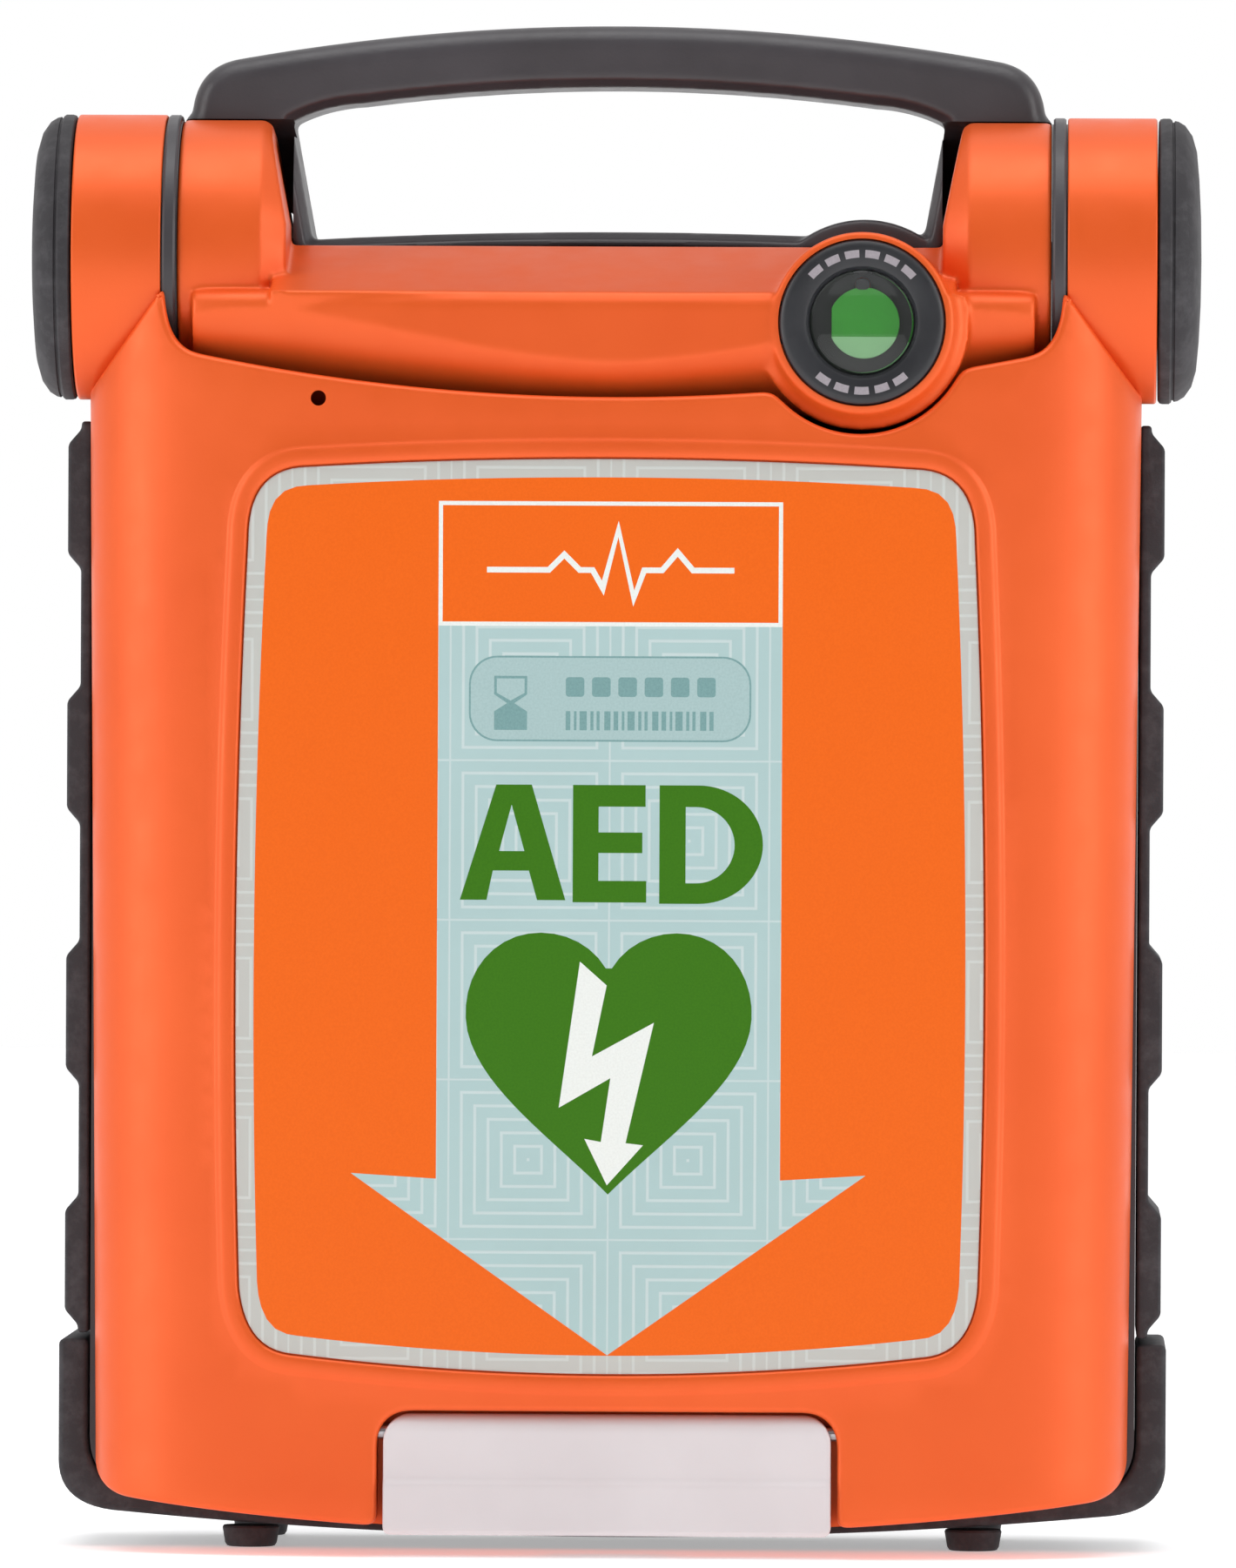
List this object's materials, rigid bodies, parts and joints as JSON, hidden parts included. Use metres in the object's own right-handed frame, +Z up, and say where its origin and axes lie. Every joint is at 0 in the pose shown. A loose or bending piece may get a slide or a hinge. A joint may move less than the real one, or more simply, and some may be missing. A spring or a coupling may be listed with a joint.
{
  "type": "defibrillator",
  "caption": "Portable automated external defibrillator: upright case with a carry handle, a hinged front lid with a latch and arrow label, and a status indicator.",
  "frame": {"origin": "centre of the footprint, on the surface under the four feet", "axes": "+Z up, -Y out of the lid's face, +X to the viewer's right when facing the lid"},
  "size_m": [0.2292, 0.09, 0.2989],
  "materials": {
    "orange_shell": "satin moulded, fine spark texture",
    "charcoal_plastic": "satin moulded",
    "rubber": "soft matt overmould",
    "label_print": "printed polyester film, semi-gloss",
    "pale_plastic": "satin moulded",
    "clear_plastic": "clear polished",
    "flag_green": "flat printed",
    "button_red": "translucent gloss",
    "steel": "plated",
    "circuit_board": "solder mask over glass fibre",
    "dark_plastic": "satin moulded",
    "pouch_foil": "sealed foil film"
  },
  "bodies": {
    "base": {"rear_housing": "charcoal_plastic", "carry_handle": "charcoal_plastic", "hinge_ring_left": "charcoal_plastic", "hinge_ring_right": "charcoal_plastic", "indicator_bezel": "charcoal_plastic", "control_deck": "charcoal_plastic", "front_housing": "orange_shell", "side_grip_left": "rubber", "side_grip_right": "rubber", "bottom_bumper": "rubber", "foot_front_left": "rubber", "foot_front_right": "rubber", "foot_rear_left": "rubber", "foot_rear_right": "rubber", "deck_gasket": "rubber", "indicator_lens": "clear_plastic", "display_window": "clear_plastic", "indicator_coil": "dark_plastic", "display_module": "dark_plastic", "shock_switch": "dark_plastic", "speaker": "dark_plastic", "speaker_grille": "dark_plastic", "hv_capacitor": "dark_plastic", "charging_transformer": "dark_plastic", "switching_module": "dark_plastic", "lid_sensor": "dark_plastic", "pads_socket": "pale_plastic", "pads_pouch": "pouch_foil", "main_board": "circuit_board", "battery_contacts": "steel", "latch_keeper": "steel", "hinge_pin_left": "steel", "hinge_pin_right": "steel", "rear_screw_lower_left": "steel", "rear_screw_lower_right": "steel", "rear_screw_upper_left": "steel", "rear_screw_upper_right": "steel"},
    "lid": {"lid_shell": "orange_shell", "lid_liner": "charcoal_plastic", "label_plate": "label_print", "date_window": "clear_plastic", "end_cap_left": "rubber", "end_cap_right": "rubber", "hinge_bush_left": "pale_plastic", "hinge_bush_right": "pale_plastic", "latch_pin": "steel", "latch_spring": "steel", "lid_magnet": "steel", "latch_screw_left": "steel", "latch_screw_right": "steel"},
    "latch": {"latch_lever": "pale_plastic"},
    "indicator_flag": {"indicator_flag": "flag_green"},
    "shock_button": {"shock_button": "button_red"},
    "language_button": {"language_button": "pale_plastic"},
    "battery": {"battery_pack": "dark_plastic"},
    "battery_release": {"battery_release": "pale_plastic"}
  },
  "joints": [
    {"name": "lid_hinge", "type": "hinge", "parent": "base", "child": "lid", "pos_m": [0, -0.008, 0.2533], "axis": [-1, 0, 0], "range_deg": [0, 105]},
    {"name": "latch_pivot", "type": "hinge", "parent": "lid", "child": "latch", "pos_m": [0, -0.0405, 0.0244], "axis": [-1, 0, 0], "range_deg": [0, 18], "stiffness_Nm_per_rad": 0.4},
    {"name": "flag_swing", "type": "hinge", "parent": "base", "child": "indicator_flag", "pos_m": [0.0485, -0.038, 0.2473], "axis": [0, 1, 0], "range_deg": [0, 50]},
    {"name": "shock_press", "type": "slide", "parent": "base", "child": "shock_button", "axis": [0, 1, 0], "range_m": [0, 0.002], "stiffness_N_per_m": 900},
    {"name": "language_press", "type": "slide", "parent": "base", "child": "language_button", "axis": [0, 1, 0], "range_m": [0, 0.001], "stiffness_N_per_m": 700},
    {"name": "battery_slide", "type": "slide", "parent": "base", "child": "battery", "axis": [0, 1, 0], "range_m": [0, 0.05]},
    {"name": "release_slide", "type": "slide", "parent": "battery", "child": "battery_release", "axis": [0, 0, -1], "range_m": [0, 0.003], "stiffness_N_per_m": 500}
  ]
}
